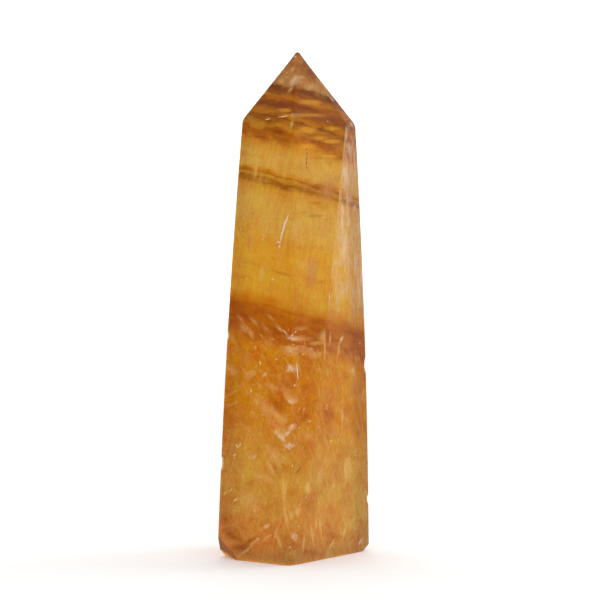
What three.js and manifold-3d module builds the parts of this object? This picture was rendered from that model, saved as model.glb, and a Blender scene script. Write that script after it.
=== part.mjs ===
// A polished fluorite point: one hand-cut tower of honey-yellow fluorite that stands on its sawn foot.
// Six polished flats lean in towards a shoulder, and six facets rise from the shoulder to a tip.
// Millimetres, +Z up, the middle of the foot at the origin, the side with the sharp middle ridge facing -Y.

import * as THREE from "three";
import { mergeVertices } from "three/addons/utils/BufferGeometryUtils.js";
import Module from "manifold-3d";

// Driving dimensions
const HEIGHT = 90; // foot to tip
const TIP_AT = new THREE.Vector2(0.4, -0.3); // where the tip stands over the foot
const BOW = 0.4; // how far the polishing wheel left each flat bulging at half height
const FOOT_EASE = 0.5; // radius of the eased rim of the foot
const RIDGE_RADIUS = 0.45; // radius of the worn ridges between the flats
const SHOULDER_EASE = 0.3; // width over which a flat turns into its tip facet
const TIP_TAPER = 5; // the ridges near the tip have a radius of their distance from it over this
const TIP_WORN = 0.3; // how much higher the tip facets would meet if the tip weren't worn round

const MEETING = HEIGHT + TIP_WORN; // height where the tip facets would meet

// The six flats, anticlockwise from above. facing: degrees from -Y towards +X. foot and neck: how far the
// flat stands from the axis at the foot and at its shoulder. shoulder: height where its tip facet starts.
const FLATS = [
  { facing: -34, foot: 11.5, neck: 6.85, shoulder: 77.8 },
  { facing: 40, foot: 9.3, neck: 5.9, shoulder: 77.4 },
  { facing: 52, foot: 7.65, neck: 7.2, shoulder: 77.4 },
  { facing: 128, foot: 13.6, neck: 10.05, shoulder: 77.0 },
  { facing: 182, foot: 12.8, neck: 7.6, shoulder: 77.6 },
  { facing: 251, foot: 11.6, neck: 8.35, shoulder: 77.7 },
];

// Corners of the foot that were ground off: the plane's outward direction, and a point that it passes through.
const GROUND_CORNERS = [
  { outward: [-0.78, -0.55, -0.34], through: [-10.65, -6.25, 0] },
  { outward: [-0.63, -0.25, -0.73], through: [-10.55, -6.35, 0.1] },
  { outward: [0.65, 0.1, -0.75], through: [12.2, 3, 0] },
];

// Shell-shaped chips out of the ridges. ridge: the flat before it. height: middle of the chip.
const CHIPS = [
  { ridge: 2, height: 9.5, length: 1.9, depth: 0.26 },
  { ridge: 2, height: 33.9, length: 2.8, depth: 0.28 },
  { ridge: 5, height: 16.9, length: 2.6, depth: 0.3 },
  { ridge: 5, height: 39.3, length: 1.4, depth: 0.22 },
  { ridge: 0, height: 20.5, length: 1.2, depth: 0.2 },
  { ridge: 3, height: 24.5, length: 2.2, depth: 0.3 },
  { ridge: 3, height: 58, length: 1.5, depth: 0.22 },
  { ridge: 4, height: 12, length: 1.8, depth: 0.28 },
  { ridge: 4, height: 47.5, length: 2.4, depth: 0.26 },
];

// How finely the curved stretches are cut into flat pieces
const RIDGE_STEPS = 4;
const FOOT_STEPS = 3;
const SIDE_STEPS = 10;
const SHOULDER_STEPS = 8;
const CHIP_DETAIL = 5;

const FINISH = { color: 0xc98a2c, roughness: 0.12, metalness: 0 };

const wasm = await Module();
wasm.setup();

// A flat's outward direction, seen from above.
function outward(flat) {
  const angle = THREE.MathUtils.degToRad(flat.facing);
  return new THREE.Vector2(Math.sin(angle), -Math.cos(angle));
}

// The smaller of two distances, eased into each other where they are nearly equal.
function easedMin(a, b, width) {
  const overlap = Math.max(width - Math.abs(a - b), 0) / width;
  return Math.min(a, b) - (overlap * overlap * width) / 4;
}

// How much the eased rim takes off every flat near the foot: a quarter circle.
function rimInset(z) {
  const below = Math.max(FOOT_EASE - z, 0);
  return FOOT_EASE - Math.sqrt(FOOT_EASE ** 2 - below ** 2);
}

// How far a flat, or the tip facet above it, stands from the axis at height z.
function reach(flat, z) {
  const share = z / flat.shoulder;
  const side = flat.foot + (flat.neck - flat.foot) * share + 4 * BOW * share * (1 - share);
  const tipOffset = outward(flat).dot(TIP_AT);
  const facet = tipOffset + ((flat.neck - tipOffset) * (MEETING - z)) / (MEETING - flat.shoulder);
  return easedMin(side, facet, SHOULDER_EASE) - rimInset(z);
}

// Where two neighbouring flats, each moved in by inset, meet at height z.
function cornerAt(flat, next, z, inset) {
  const a = outward(flat);
  const b = outward(next);
  const reachA = reach(flat, z) - inset;
  const reachB = reach(next, z) - inset;
  const turn = a.cross(b);
  return new THREE.Vector2((reachA * b.y - reachB * a.y) / turn, (reachB * a.x - reachA * b.x) / turn);
}

// The outline at height z: an arc round each ridge, with the flats as the straight runs between the arcs.
function outlineAt(z) {
  const radius = Math.min(RIDGE_RADIUS, (MEETING - z) / TIP_TAPER);
  return FLATS.flatMap((flat, i) => {
    const next = FLATS[(i + 1) % FLATS.length];
    const turn = (next.facing - flat.facing + 360) % 360;
    const centre = cornerAt(flat, next, z, radius);
    return Array.from({ length: RIDGE_STEPS + 1 }, (_, k) => {
      const facing = flat.facing + (turn * k) / RIDGE_STEPS;
      const p = outward({ facing }).multiplyScalar(radius).add(centre);
      return new THREE.Vector3(p.x, p.y, z);
    });
  });
}

// Evenly spaced heights from low to high, the high end left out.
function spaced(low, high, steps) {
  return Array.from({ length: steps }, (_, k) => low + ((high - low) * k) / steps);
}

// Heights of the outlines: close together where the form curves, far apart where it is straight.
function levels() {
  const shoulders = FLATS.map((flat) => flat.shoulder);
  const under = Math.min(...shoulders) - 2 * SHOULDER_EASE;
  const over = Math.max(...shoulders) + 2 * SHOULDER_EASE;
  return [
    ...spaced(0, FOOT_EASE, FOOT_STEPS),
    ...spaced(FOOT_EASE, under, SIDE_STEPS),
    ...spaced(under, over, SHOULDER_STEPS),
    ...spaced(over, HEIGHT - TIP_WORN / 2, 2),
    HEIGHT - TIP_WORN / 2,
  ];
}

// The closed tower: the outlines joined up by triangles, with a fan over the foot and one over the tip.
function towerGeometry() {
  const rings = levels().map(outlineAt);
  const count = rings[0].length;
  const tip = new THREE.Vector3(TIP_AT.x, TIP_AT.y, HEIGHT);
  const foot = new THREE.Vector3(0, 0, 0);
  const points = [];
  for (let i = 0; i < count; i += 1) {
    const j = (i + 1) % count;
    points.push(foot, rings[0][j], rings[0][i]);
    for (let level = 1; level < rings.length; level += 1) {
      const [low, high] = [rings[level - 1], rings[level]];
      points.push(low[i], low[j], high[j], low[i], high[j], high[i]);
    }
    points.push(rings.at(-1)[i], rings.at(-1)[j], tip);
  }
  return new THREE.BufferGeometry().setFromPoints(points);
}

// A closed geometry as a solid that can be cut.
function solidFrom(geometry) {
  const bare = geometry.clone();
  bare.deleteAttribute("normal");
  bare.deleteAttribute("uv");
  const merged = mergeVertices(bare, 1e-4);
  return new wasm.Manifold(
    new wasm.Mesh({
      numProp: 3,
      vertProperties: merged.attributes.position.array,
      triVerts: new Uint32Array(merged.index.array),
    }),
  );
}

// A block that covers everything on the outer side of a ground corner's plane.
function cornerCutter({ outward: direction, through }) {
  const size = HEIGHT;
  const normal = new THREE.Vector3(...direction).normalize();
  const block = new THREE.BoxGeometry(size, size, size).translate(0, 0, size / 2);
  block.applyQuaternion(new THREE.Quaternion().setFromUnitVectors(new THREE.Vector3(0, 0, 1), normal));
  return solidFrom(block.translate(...through));
}

// A ball that scoops one chip out of a ridge: as wide as the chip is long where it meets the ridge.
function chipCutter({ ridge, height, length, depth }) {
  const flat = FLATS[ridge];
  const next = FLATS[(ridge + 1) % FLATS.length];
  const radius = (length * length) / (8 * depth) + depth / 2;
  const edge = cornerAt(flat, next, height, 0);
  const away = outward(flat).add(outward(next)).normalize();
  const worn = RIDGE_RADIUS * (1 / away.dot(outward(flat)) - 1);
  const centre = edge.addScaledVector(away, radius - depth - worn);
  return solidFrom(new THREE.IcosahedronGeometry(radius, CHIP_DETAIL).translate(centre.x, centre.y, height));
}

// A solid as a flat-shaded geometry, with the middle of its foot moved to the origin.
function geometryFrom(solid) {
  const { vertProperties, triVerts } = solid.getMesh();
  const indexed = new THREE.BufferGeometry();
  indexed.setAttribute("position", new THREE.BufferAttribute(vertProperties, 3));
  indexed.setIndex(new THREE.BufferAttribute(triVerts, 1));
  const geometry = indexed.toNonIndexed();
  geometry.computeBoundingBox();
  const middle = geometry.boundingBox.getCenter(new THREE.Vector3());
  geometry.translate(-middle.x, -middle.y, 0);
  geometry.computeVertexNormals();
  return geometry;
}

// The fluorite point: the tower with its ground corners and its chips cut away.
function fluoritePoint() {
  const cutters = [...GROUND_CORNERS.map(cornerCutter), ...CHIPS.map(chipCutter)];
  const solid = cutters.reduce((stone, cutter) => stone.subtract(cutter), solidFrom(towerGeometry()));
  const mesh = new THREE.Mesh(geometryFrom(solid), new THREE.MeshStandardMaterial(FINISH));
  mesh.name = "fluorite_point";
  return mesh;
}

const part = new THREE.Group();
part.add(fluoritePoint());

export default part;
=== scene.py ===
"""The looks of a polished fluorite point: one hand-cut tower of honey-yellow fluorite on a pale studio floor.

Lengths are millimetres until a mesh is made, where they become metres. The stone keeps the form of the solid
that it stands for: six flats lean in to a shoulder, and six facets rise from there to the tip.
"""

import logging
import math
from dataclasses import dataclass, field
from enum import Enum
from functools import cached_property

import bpy
import numpy as np
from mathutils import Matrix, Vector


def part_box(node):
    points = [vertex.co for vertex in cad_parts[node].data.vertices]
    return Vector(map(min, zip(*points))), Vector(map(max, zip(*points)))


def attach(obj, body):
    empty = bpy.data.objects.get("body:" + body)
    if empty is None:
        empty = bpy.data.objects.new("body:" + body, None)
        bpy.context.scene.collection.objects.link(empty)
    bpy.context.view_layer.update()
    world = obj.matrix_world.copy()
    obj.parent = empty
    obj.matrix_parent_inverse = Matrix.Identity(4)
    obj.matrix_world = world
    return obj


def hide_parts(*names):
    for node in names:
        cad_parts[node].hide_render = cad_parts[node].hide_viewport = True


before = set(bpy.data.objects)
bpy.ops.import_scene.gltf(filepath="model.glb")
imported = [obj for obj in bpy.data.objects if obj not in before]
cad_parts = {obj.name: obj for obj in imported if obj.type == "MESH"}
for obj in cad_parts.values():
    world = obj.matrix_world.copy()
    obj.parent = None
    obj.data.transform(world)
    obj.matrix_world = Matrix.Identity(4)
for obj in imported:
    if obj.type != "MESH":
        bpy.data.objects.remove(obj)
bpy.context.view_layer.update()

MM = 0.001
NODE = "fluorite_point"
BODY = "root"
PHOTO_SIDE = 600
FLUORITE_IOR = 1.434

# How far apart the patterns of two marks are drawn, so that no two marks are alike
PATTERN_GAP = 9.7

# The colour sockets of a Mix node, which shares their names with its other kinds of socket
MIX_A, MIX_B, MIX_RESULT = 6, 7, 2

log = logging.getLogger("fluorite_point")


def linear(code: str, alpha: float = 1.0) -> tuple[float, float, float, float]:
    """Turn an sRGB hex colour into the linear colour that shaders take.

    Args:
        code: the colour as "#rrggbb".
        alpha: the fourth number of the result.

    Returns:
        Linear red, green and blue, and alpha.
    """
    srgb = np.array([int(code[i : i + 2], 16) for i in (1, 3, 5)]) / 255
    value = np.where(srgb <= 0.04045, srgb / 12.92, ((srgb + 0.055) / 1.055) ** 2.4)
    return (*value.tolist(), alpha)


def add_node(tree: bpy.types.NodeTree, kind: str, inputs: dict | None = None, **settings) -> bpy.types.Node:
    """Add one node, set its properties, and fill or link its inputs.

    Args:
        tree: the node tree.
        kind: the node's Blender type name.
        inputs: input name or number, with a socket to link or a value to set.
        **settings: properties of the node.

    Returns:
        The new node.
    """
    node = tree.nodes.new(kind)
    for name, value in settings.items():
        setattr(node, name, value)
    for name, value in (inputs or {}).items():
        if isinstance(value, bpy.types.NodeSocket):
            tree.links.new(value, node.inputs[name])
        else:
            node.inputs[name].default_value = value
    return node


def mesh_piece(
    name: str, points: np.ndarray, faces: np.ndarray, material: bpy.types.Material
) -> bpy.types.Object:
    """Make a mesh object at the origin from points in millimetres.

    Args:
        name: the piece's name.
        points: vertices, one row each, in millimetres.
        faces: vertex numbers, one row of four a face, a triangle with its last number repeated.
        material: the finish.

    Returns:
        The object, linked to the scene.
    """
    mesh = bpy.data.meshes.new(name)
    is_quad = faces[:, 2] != faces[:, 3]
    sizes = np.where(is_quad, 4, 3)
    keep = np.ones(faces.shape, bool)
    keep[:, 3] = is_quad
    corners = faces[keep]
    mesh.vertices.add(len(points))
    mesh.loops.add(len(corners))
    mesh.polygons.add(len(faces))
    mesh.vertices.foreach_set("co", (points * MM).astype(np.float32).ravel())
    mesh.loops.foreach_set("vertex_index", corners.astype(np.int32))
    starts = np.concatenate([[0], np.cumsum(sizes)[:-1]])
    mesh.polygons.foreach_set("loop_start", starts.astype(np.int32))
    mesh.update(calc_edges=True)
    mesh.validate()
    mesh.polygons.foreach_set("use_smooth", np.ones(len(mesh.polygons), bool))
    mesh.materials.append(material)
    piece = bpy.data.objects.new(name, mesh)
    bpy.context.scene.collection.objects.link(piece)
    return piece


class Tone(Enum):
    """The body colours of the stone, from clear to smoky; the foot's tan is lifted as painted light."""

    PALE_HONEY = "#d8b65e"
    GOLD = "#deb23e"
    HONEY = "#d8a43a"
    WARM_HONEY = "#d8ae52"
    # Lifted well above the foot's own tan: painted light where the floor shades the foot
    FOOT_TAN_AND_PAINTED_LIGHT = "#ffc068"
    TAN = "#d49a50"
    ORANGE = "#d49200"
    AMBER = "#d28c08"
    SMOKE = "#b86a00"
    DEEP_SMOKE = "#8a4c00"
    ROSE_TAN = "#ca965c"
    TIP_BROWN = "#ac6c30"


class Cleavage(Enum):
    """The four planes along which fluorite splits, each with the compass turn of its level part in degrees."""

    FIRST = 28.0
    SECOND = 118.0
    THIRD = 208.0
    FOURTH = 298.0


@dataclass(frozen=True)
class Crystal:
    """How the crystal lies in the stone: its growth direction, with the cleavage planes at 54.7 degrees to it.

    lean is the direction across the faint streaks and fibres that lean to the right as they rise.
    """

    growth: tuple[float, float, float] = (0.255, -0.03, 1.0)
    lean: tuple[float, float, float] = (1.0, 0.0, -0.27)

    def cleavage(self, plane: Cleavage) -> np.ndarray:
        """Give a cleavage plane's direction: the growth direction plus root two times a level one.

        Args:
            plane: which of the four planes.

        Returns:
            The plane's unit direction.
        """
        up = np.array(self.growth) / np.linalg.norm(self.growth)
        turn = math.radians(plane.value)
        level = np.array([math.cos(turn), math.sin(turn), 0.0])
        level -= up * (level @ up)
        direction = up + math.sqrt(2) * level / np.linalg.norm(level)
        return direction / np.linalg.norm(direction)


@dataclass(frozen=True)
class Zone:
    """One layer of growth colour: its height along the growth direction from the foot's middle, and its tone."""

    height: float
    tone: Tone


@dataclass(frozen=True)
class VeilAndReflection:
    """A whitish veil of upright scratches, and on the right flat painted reflection: the flat's facing, the heights
    and the strength.
    """

    facing: float
    low: float
    high: float
    strength: float


@dataclass(frozen=True)
class SoftTone:
    """How a field of soft marks colours the stone.

    Barbs of a length and a width run along each mark and fray its rim. A mark starts to show where the frayed
    field is at rim, soon with the faint share of its strength, and with all of it where the field is at full.
    """

    field: str
    tone: str
    strength: float
    barb: tuple[float, float]
    fray: float
    rim: float = 0.05
    full: float = 0.8
    faint: float = 0.0
    blend: str = "MIX"


class InnerPatterns:
    """Patterns of the stone: each method adds nodes to one material and gives the socket of what it draws."""

    def __init__(self, tree: bpy.types.NodeTree, crystal: Crystal) -> None:
        """Add the place on the stone in millimetres, the way that its skin faces, and two skewed places.

        In layered the height is counted along the growth direction. In leaning X is counted across the streaks
        that lean.

        Args:
            tree: the material's nodes.
            crystal: how the crystal lies in the stone.
        """
        self.tree = tree
        self.crystal = crystal
        coordinates = add_node(tree, "ShaderNodeTexCoord")
        self.facing = coordinates.outputs["Normal"]
        self.place = add_node(tree, "ShaderNodeVectorMath", {
            0: coordinates.outputs["Object"], "Scale": 1 / MM}, operation="SCALE").outputs["Vector"]
        x, y, z = add_node(tree, "ShaderNodeSeparateXYZ", {0: self.place}).outputs
        grown = self.across(np.array(crystal.growth))
        leant = self.across(np.array(crystal.lean))
        self.layered = add_node(tree, "ShaderNodeCombineXYZ", {0: x, 1: y, 2: grown}).outputs["Vector"]
        self.leaning = add_node(tree, "ShaderNodeCombineXYZ", {0: leant, 1: y, 2: z}).outputs["Vector"]

    def ramp(
        self, value: bpy.types.NodeSocket, low: float, high: float, full: float = 1.0
    ) -> bpy.types.NodeSocket:
        """Ease a value from 0 at low to full at high, or down from full where low is the larger.

        Args:
            value: the value to ease.
            low: where the result is 0.
            high: where the result is full.
            full: the largest result.

        Returns:
            The eased value.
        """
        ends = (0.0, full) if low < high else (full, 0.0)
        eased = add_node(self.tree, "ShaderNodeMapRange", {
            "Value": value, "From Min": min(low, high), "From Max": max(low, high),
            "To Min": ends[0], "To Max": ends[1]}, interpolation_type="SMOOTHSTEP")
        return eased.outputs["Result"]

    def combined(self, operation: str, *values: bpy.types.NodeSocket | float) -> bpy.types.NodeSocket:
        """Multiply, add or compare values, one after the other.

        Args:
            operation: the Math node's operation.
            *values: the values.

        Returns:
            The result of all of them.
        """
        total = values[0]
        for value in values[1:]:
            step = add_node(self.tree, "ShaderNodeMath", {0: total, 1: value}, operation=operation)
            total = step.outputs[0]
        return total

    def swayed(self, base: bpy.types.NodeSocket | float, pattern: bpy.types.NodeSocket,
               reach: bpy.types.NodeSocket | float) -> bpy.types.NodeSocket:
        """Raise a value where a pattern is over a half, and lower it where the pattern is under.

        Args:
            base: the value.
            pattern: a pattern between 0 and 1.
            reach: how far the value moves from the pattern's lowest to its highest.

        Returns:
            The moved value.
        """
        over = add_node(self.tree, "ShaderNodeMath", {0: pattern, 1: -0.5}, operation="ADD")
        moved = add_node(self.tree, "ShaderNodeMath", {0: over.outputs[0], 1: reach, 2: base},
                         operation="MULTIPLY_ADD")
        return moved.outputs[0]

    def across(self, direction: np.ndarray) -> bpy.types.NodeSocket:
        """Give the distance in millimetres along a direction."""
        distance = add_node(self.tree, "ShaderNodeVectorMath", {0: self.place, 1: direction},
                            operation="DOT_PRODUCT")
        return distance.outputs["Value"]

    def clouds(self, size: float, stretch: tuple[float, float, float] = (1.0, 1.0, 1.0),
               detail: float = 4.0, place: bpy.types.NodeSocket | None = None) -> bpy.types.NodeSocket:
        """Draw clouds.

        Args:
            size: about how wide a cloud is, in millimetres.
            stretch: how much longer a cloud is along X, Y and Z.
            detail: how many times finer clouds are added.
            place: where to draw them, if not by the place on the stone.

        Returns:
            A pattern between 0 and 1, mostly near a half.
        """
        shrunk = add_node(self.tree, "ShaderNodeMapping", {
            "Vector": place or self.place,
            "Location": (size * 7, detail, size), "Scale": 1 / np.array(stretch) / size})
        noise = add_node(self.tree, "ShaderNodeTexNoise", {
            "Vector": shrunk.outputs["Vector"], "Scale": 1.0, "Detail": detail, "Roughness": 0.6})
        return noise.outputs["Fac"]

    def lines(self, distance: bpy.types.NodeSocket, gap: float) -> bpy.types.NodeSocket:
        """Draw uneven parallel layers across a distance.

        Args:
            distance: the distance across the layers.
            gap: about how far apart they are.

        Returns:
            A pattern between 0 and 1.
        """
        noise = add_node(self.tree, "ShaderNodeTexNoise", {
            "W": distance, "Scale": 1 / gap, "Detail": 3.0, "Roughness": 0.7}, noise_dimensions="1D")
        return noise.outputs["Fac"]

    def sheets(self, plane: Cleavage, gap: float, length: float) -> bpy.types.NodeSocket:
        """Draw ragged sheets along a cleavage plane: clouds that are thin across it and long along it.

        Args:
            plane: the cleavage plane.
            gap: about how far apart the sheets are.
            length: about how long they are.

        Returns:
            A pattern between 0 and 1.
        """
        beside = [other for other in Cleavage if other is not plane][:2]
        sizes = {plane: gap, beside[0]: length, beside[1]: length}
        skewed = add_node(self.tree, "ShaderNodeCombineXYZ", {
            i: self.across(self.crystal.cleavage(way) / size) for i, (way, size) in enumerate(sizes.items())})
        noise = add_node(self.tree, "ShaderNodeTexNoise", {
            "Vector": skewed.outputs["Vector"], "Scale": 1.0,
            "Detail": 5.0, "Roughness": 0.6, "Distortion": 0.5})
        return noise.outputs["Fac"]

    def blocks(self, size: float) -> bpy.types.NodeSocket:
        """Draw blocks with flat sides along three of the cleavage planes, each of one grey.

        Args:
            size: about how large a block is.

        Returns:
            A pattern between 0 and 1.
        """
        skewed = add_node(self.tree, "ShaderNodeCombineXYZ", {
            i: self.across(self.crystal.cleavage(way) / size) for i, way in enumerate(list(Cleavage)[:3])})
        cells = add_node(self.tree, "ShaderNodeTexVoronoi", {
            "Vector": skewed.outputs["Vector"], "Scale": 1.0}, distance="CHEBYCHEV")
        return add_node(self.tree, "ShaderNodeSeparateColor", {0: cells.outputs["Color"]}).outputs[0]

    def on_flat(self, facing: float) -> bpy.types.NodeSocket:
        """Give 1 on the flat that faces a way, and 0 on the others.

        Args:
            facing: degrees from -Y towards +X.

        Returns:
            The mask.
        """
        angle = math.radians(facing)
        likeness = add_node(self.tree, "ShaderNodeVectorMath", {
            0: self.facing, 1: (math.sin(angle), -math.cos(angle), 0.0)}, operation="DOT_PRODUCT")
        return self.ramp(likeness.outputs["Value"], 0.983, 0.99)

    def from_mesh(self, name: str) -> bpy.types.NodeSocket:
        """Read a value that the mesh has at each place."""
        return add_node(self.tree, "ShaderNodeAttribute", attribute_name=name).outputs["Fac"]

    def mixed(self, share: bpy.types.NodeSocket | float, below: bpy.types.NodeSocket,
              above: bpy.types.NodeSocket | str, blend: str = "MIX") -> bpy.types.NodeSocket:
        """Lay a colour over another.

        Args:
            share: how much of the colour above shows.
            below: the colour below.
            above: the colour above, as a pattern or as sRGB hex.
            blend: how they mix.

        Returns:
            The mixed colour.
        """
        over = linear(above) if isinstance(above, str) else above
        mix = add_node(self.tree, "ShaderNodeMix", {0: share, MIX_A: below, MIX_B: over},
                       data_type="RGBA", blend_type=blend)
        return mix.outputs[MIX_RESULT]


@dataclass(frozen=True)
class PolishedFluorite:
    """Polished fluorite: clear, soft (Mohs 4) and low in lustre, with layers of smoky growth colour across it.

    It gives the eye a honey glow from the light that passes through, tilted bands that break up along their
    length, pale cleavage sheets in the lower half, and a wet-looking gloss.
    """

    crystal: Crystal = Crystal()
    ior: float = FLUORITE_IOR
    transmission: float = 0.7
    cloudiness: float = 0.5
    body_lustre: float = 0.04
    body_lustre_tone: str = "#e0902a"
    polish: float = 0.09
    polish_roughness: float = 0.08
    absorption_tone: str = "#fae200"
    absorption_density: float = 110.0
    haze_tone: str = "#e6bc74"
    # The veils' whitish tone, which on the right flat is painted reflection of the softbox
    veil_and_reflection_tone: str = "#e2cbb4"
    break_tone: str = "#f1e0cd"
    ground_tone: str = "#875a46"
    shade_tone: str = "#b8701c"
    mottle_dark: tuple[float, float, float, float] = (0.32, 0.0, 0.0, 1.0)
    mottle_light: tuple[float, float, float, float] = (0.68, 1.0, 1.0, 1.0)
    zones: tuple[Zone, ...] = (
        # The foot's tones are lifted, painted light where the floor shades the foot
        Zone(-3.0, Tone.FOOT_TAN_AND_PAINTED_LIGHT),
        Zone(4.0, Tone.TAN),
        Zone(9.0, Tone.WARM_HONEY),
        Zone(16.0, Tone.WARM_HONEY),
        Zone(25.5, Tone.ORANGE),
        Zone(36.5, Tone.ORANGE),
        Zone(38.2, Tone.SMOKE),
        Zone(42.6, Tone.SMOKE),
        Zone(44.0, Tone.AMBER),
        Zone(45.7, Tone.GOLD),
        Zone(54.0, Tone.GOLD),
        Zone(58.0, Tone.PALE_HONEY),
        Zone(62.4, Tone.PALE_HONEY),
        Zone(64.6, Tone.HONEY),
        Zone(65.7, Tone.DEEP_SMOKE),
        Zone(66.2, Tone.GOLD),
        Zone(66.6, Tone.DEEP_SMOKE),
        Zone(67.1, Tone.AMBER),
        Zone(67.8, Tone.PALE_HONEY),
        Zone(70.2, Tone.PALE_HONEY),
        Zone(72.2, Tone.HONEY),
        Zone(74.0, Tone.SMOKE),
        Zone(75.3, Tone.HONEY),
        Zone(76.7, Tone.DEEP_SMOKE),
        Zone(77.5, Tone.ORANGE),
        Zone(79.3, Tone.DEEP_SMOKE),
        Zone(80.2, Tone.SMOKE),
        Zone(81.2, Tone.AMBER),
        Zone(82.4, Tone.DEEP_SMOKE),
        Zone(83.1, Tone.DEEP_SMOKE),
        Zone(84.1, Tone.ROSE_TAN),
        Zone(88.0, Tone.TIP_BROWN),
    )
    veils_and_reflection: tuple[VeilAndReflection, ...] = (
        # On the right flat, which mirrors the softbox, the veil is painted reflection as well as scratches
        VeilAndReflection(52, 42.0, 83.0, 0.95),
        VeilAndReflection(182, 52.0, 76.0, 0.4),
        VeilAndReflection(128, 6.0, 40.0, 0.4),
    )
    soft_tones: tuple[SoftTone, ...] = (
        SoftTone("smoky_clouds", "#be761c", 0.5, (2.5, 0.6), 1.2, 0.0, 0.9, blend="MULTIPLY"),
        SoftTone("smoky_bands", "#a86a1c", 0.52, (4.0, 0.4), 1.0, 0.0, 0.7, blend="MULTIPLY"),
        SoftTone("golden_bands", "#f0b840", 0.9, (4.0, 0.45), 0.7, 0.0, 0.5),
        SoftTone("rosy_sheets", "#cc9870", 0.75, (6.0, 0.35), 0.8, 0.0, 0.6),
        SoftTone("deep_wisps", "#e8c484", 0.75, (2.6, 0.4), 1.6, 0.0, 0.9),
        SoftTone("golden_feathers", "#fcdf98", 0.85, (3.5, 0.24), 1.6, 0.05, 0.7),
        SoftTone("pale_flakes", "#f0d492", 0.9, (1.6, 0.32), 0.9, 0.05, 0.8, 0.4),
        SoftTone("flake_wings", "#f6dca4", 0.95, (1.2, 0.3), 0.4, 0.0, 0.75, 0.42),
        # Whitish smears; on the right flat they are also painted reflection of the softbox
        SoftTone("white_smears_and_reflection", "#f0e0d4", 0.85, (5.0, 0.3), 1.4, 0.05, 0.7, 0.2),
        SoftTone("fresh_flakes", "#f8ead6", 0.95, (1.2, 0.26), 1.2, 0.05, 0.7, 0.35),
    )

    def material(self) -> bpy.types.Material:
        """Build the material's nodes.

        Growth colour comes first, then shade, haze, veils, soft marks, mottle and wear, each laid over the last. On
        the right flat the veil and the white smears are also painted reflection of the softbox.
        The clear body takes that colour, with a polish over it and absorption in it.

        Returns:
            The material.
        """
        material = bpy.data.materials.new("polished_fluorite")
        material.use_nodes = True
        tree = material.node_tree
        tree.nodes.clear()
        patterns = InnerPatterns(tree, self.crystal)
        height = self._growth_height(patterns)
        colour = self._growth_colour(tree, height)
        colour = patterns.mixed(self._shade(patterns, height), colour, self.shade_tone, "MULTIPLY")
        colour = patterns.mixed(self._haze(patterns, height), colour, self.haze_tone)
        # Whitish veils; on the right flat they also paint the softbox's reflection
        colour = patterns.mixed(self._veil_and_reflection(patterns, height), colour, self.veil_and_reflection_tone)
        for soft in self.soft_tones:
            colour = patterns.mixed(self._soft(patterns, soft), colour, soft.tone, soft.blend)
        colour = patterns.mixed(1.0, colour, self._mottle(patterns, height), "OVERLAY")
        colour = patterns.mixed(patterns.from_mesh("ground_down"), colour, self.ground_tone)
        colour = patterns.mixed(patterns.from_mesh("fresh_break"), colour, self.break_tone)
        shader = add_node(tree, "ShaderNodeBsdfPrincipled", {
            "Base Color": colour,
            "Roughness": self.cloudiness,
            "IOR": self.ior,
            "Specular IOR Level": self.body_lustre,
            "Specular Tint": linear(self.body_lustre_tone),
            "Transmission Weight": self.transmission,
            "Coat Weight": self.polish,
            "Coat Roughness": self.polish_roughness,
            "Coat IOR": self.ior,
            "Coat Normal": self._polish_lines(patterns),
        })
        absorption = add_node(tree, "ShaderNodeVolumeAbsorption", {
            "Color": linear(self.absorption_tone),
            "Density": self.absorption_density,
        })
        add_node(tree, "ShaderNodeOutputMaterial", {
            "Surface": shader.outputs["BSDF"],
            "Volume": absorption.outputs["Volume"],
        })
        return material

    def _growth_height(self, patterns: InnerPatterns) -> bpy.types.NodeSocket:
        """Give the height along the growth direction, with the growth planes uneven.

        Wide clouds bend the planes by about a millimetre, flat ones thin and thicken them, and upright columns a
        few millimetres wide shift against each other by some tenths, as small faults do.

        Args:
            patterns: the stone's patterns.

        Returns:
            The height in millimetres.
        """
        bends = (
            (patterns.clouds(9.0), 2.6),
            (patterns.clouds(1.6, (4.0, 4.0, 1.0), place=patterns.layered), 3.0),
            (patterns.clouds(2.4, (1.0, 1.0, 12.0), 1.0), 1.2),
        )
        height = patterns.across(np.array(self.crystal.growth))
        for cloud, reach in bends:
            height = patterns.swayed(height, cloud, reach)
        return height

    def _growth_colour(self, tree: bpy.types.NodeTree, height: bpy.types.NodeSocket) -> bpy.types.NodeSocket:
        """Colour the stone by its height along the growth direction.

        Args:
            tree: the material's nodes.
            height: the height along the growth direction.

        Returns:
            The growth colour.
        """
        low, high = self.zones[0].height, self.zones[-1].height
        share = add_node(tree, "ShaderNodeMapRange", {"Value": height, "From Min": low, "From Max": high})
        ramp = add_node(tree, "ShaderNodeValToRGB", {"Fac": share.outputs["Result"]})
        stops = ramp.color_ramp.elements
        for zone in self.zones[1:-1]:
            stops.new((zone.height - low) / (high - low))
        for stop, zone in zip(stops, self.zones):
            stop.color = linear(zone.tone.value)
        return ramp.outputs["Color"]

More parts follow.
